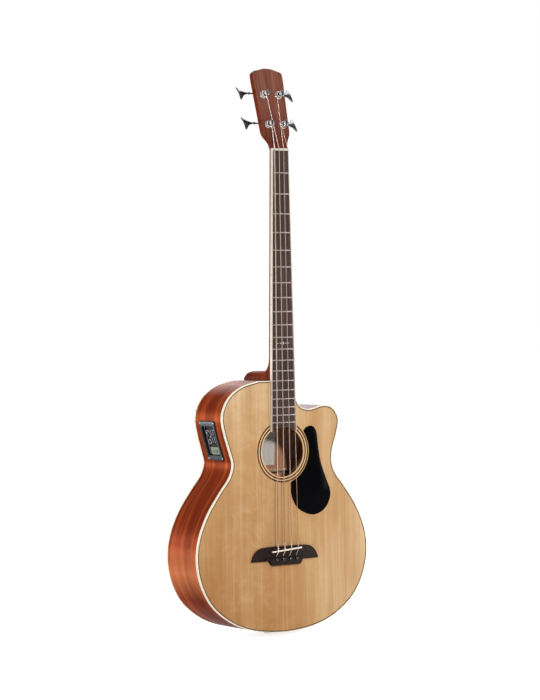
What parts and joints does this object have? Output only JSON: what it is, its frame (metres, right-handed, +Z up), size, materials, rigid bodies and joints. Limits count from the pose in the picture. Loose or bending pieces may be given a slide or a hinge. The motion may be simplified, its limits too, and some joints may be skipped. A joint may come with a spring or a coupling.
{
  "type": "acoustic bass guitar",
  "caption": "Acoustic bass guitar with a cutaway, a braced arched-back body, a long bound neck, open worm-geared tuners and a preamp panel with sliders in its side.",
  "frame": {"origin": "the back of the neck in the crook under the headstock, where a hanger's yoke holds the part", "axes": "+X to the treble side, +Y from the soundboard to the back, +Z up along the strings"},
  "size_m": [0.452, 0.1483, 1.2411],
  "materials": {
    "spruce": "gloss lacquer over straight grain",
    "mahogany": "satin reddish brown with ribbon grain",
    "block_wood": "bare wood inside the body",
    "rosewood": "oiled dark wood",
    "cream_plastic": "gloss cream",
    "black_plastic": "gloss black",
    "slate_plastic": "satin blue-grey",
    "chrome": "polished",
    "dark_chrome": "polished, darker",
    "bronze": "wound bronze"
  },
  "bodies": {
    "instrument": {"soundboard": "spruce", "back_plate": "mahogany", "side_treble": "mahogany", "side_bass": "mahogany", "top_binding": "cream_plastic", "back_binding": "cream_plastic", "top_lining": "block_wood", "back_lining": "block_wood", "neck_block": "block_wood", "tail_block": "block_wood", "x_brace": "spruce", "upper_brace": "spruce", "tone_bar": "spruce", "back_brace_1": "spruce", "back_brace_2": "spruce", "back_brace_3": "spruce", "bridge_plate": "block_wood", "rosette": "rosewood", "pickguard": "black_plastic", "bridge": "rosewood", "saddle": "cream_plastic", "pickup": "chrome", "endpin_jack": "chrome", "neck": "mahogany", "heel_cap": "rosewood", "truss_rod": "chrome", "fretboard": "rosewood", "fretboard_binding": "cream_plastic", "nut": "cream_plastic", "headstock_veneer": "mahogany", "tuner_plate_e": "chrome", "tuner_bushing_e": "chrome", "tuner_plate_a": "chrome", "tuner_bushing_a": "chrome", "tuner_plate_d": "chrome", "tuner_bushing_d": "chrome", "tuner_plate_g": "chrome", "tuner_bushing_g": "chrome", "string_e": "bronze", "string_a": "bronze", "string_d": "bronze", "string_g": "bronze", "bridge_pin_e": "black_plastic", "bridge_pin_a": "black_plastic", "bridge_pin_d": "black_plastic", "bridge_pin_g": "black_plastic", "preamp_housing": "slate_plastic"},
    "post_e": {"tuner_post_e": "chrome"},
    "post_a": {"tuner_post_a": "chrome"},
    "post_d": {"tuner_post_d": "chrome"},
    "post_g": {"tuner_post_g": "chrome"},
    "key_e": {"tuner_key_e": "dark_chrome"},
    "key_a": {"tuner_key_a": "dark_chrome"},
    "key_d": {"tuner_key_d": "dark_chrome"},
    "key_g": {"tuner_key_g": "dark_chrome"},
    "slider_low": {"slider_1": "slate_plastic"},
    "slider_middle": {"slider_2": "slate_plastic"},
    "slider_high": {"slider_3": "slate_plastic"},
    "knob": {"volume_knob": "slate_plastic"},
    "button": {"preamp_button": "slate_plastic"}
  },
  "joints": [
    {"name": "key_e_turn", "type": "hinge", "parent": "instrument", "child": "key_e", "pos_m": [-0.0188, 0.01724, 0.04764], "axis": [1, 0, 0], "continuous": true},
    {"name": "key_a_turn", "type": "hinge", "parent": "instrument", "child": "key_a", "pos_m": [-0.02, 0.03381, 0.11411], "axis": [1, 0, 0], "continuous": true},
    {"name": "key_d_turn", "type": "hinge", "parent": "instrument", "child": "key_d", "pos_m": [0.02, 0.03381, 0.11411], "axis": [1, 0, 0], "continuous": true},
    {"name": "key_g_turn", "type": "hinge", "parent": "instrument", "child": "key_g", "pos_m": [0.0188, 0.01724, 0.04764], "axis": [1, 0, 0], "continuous": true},
    {"name": "post_e_turn", "type": "hinge", "parent": "instrument", "child": "post_e", "pos_m": [-0.0188, 0.01496, 0.03852], "axis": [0, 0.9703, -0.2419], "continuous": true},
    {"name": "post_a_turn", "type": "hinge", "parent": "instrument", "child": "post_a", "pos_m": [-0.02, 0.03154, 0.10499], "axis": [0, 0.9703, -0.2419], "continuous": true},
    {"name": "post_d_turn", "type": "hinge", "parent": "instrument", "child": "post_d", "pos_m": [0.02, 0.03154, 0.10499], "axis": [0, 0.9703, -0.2419], "continuous": true},
    {"name": "post_g_turn", "type": "hinge", "parent": "instrument", "child": "post_g", "pos_m": [0.0188, 0.01496, 0.03852], "axis": [0, 0.9703, -0.2419], "continuous": true},
    {"name": "slider_low_slide", "type": "slide", "parent": "instrument", "child": "slider_low", "axis": [-0.2681, 0, 0.9634], "range_m": [-0.011, 0.011]},
    {"name": "slider_middle_slide", "type": "slide", "parent": "instrument", "child": "slider_middle", "axis": [-0.2681, 0, 0.9634], "range_m": [-0.011, 0.011]},
    {"name": "slider_high_slide", "type": "slide", "parent": "instrument", "child": "slider_high", "axis": [-0.2681, 0, 0.9634], "range_m": [-0.011, 0.011]},
    {"name": "knob_turn", "type": "hinge", "parent": "instrument", "child": "knob", "pos_m": [-0.14642, 0.05628, -0.62808], "axis": [0.9634, 0, 0.2681], "range_deg": [-150, 150]},
    {"name": "button_push", "type": "slide", "parent": "instrument", "child": "button", "axis": [0.9634, 0, 0.2681], "range_m": [0, 0.0008], "stiffness_N_per_m": 300}
  ],
  "couplings": [
    {"joint": "post_e_turn", "follows": "key_e_turn", "ratio": -0.055556},
    {"joint": "post_a_turn", "follows": "key_a_turn", "ratio": -0.055556},
    {"joint": "post_d_turn", "follows": "key_d_turn", "ratio": -0.055556},
    {"joint": "post_g_turn", "follows": "key_g_turn", "ratio": -0.055556}
  ]
}
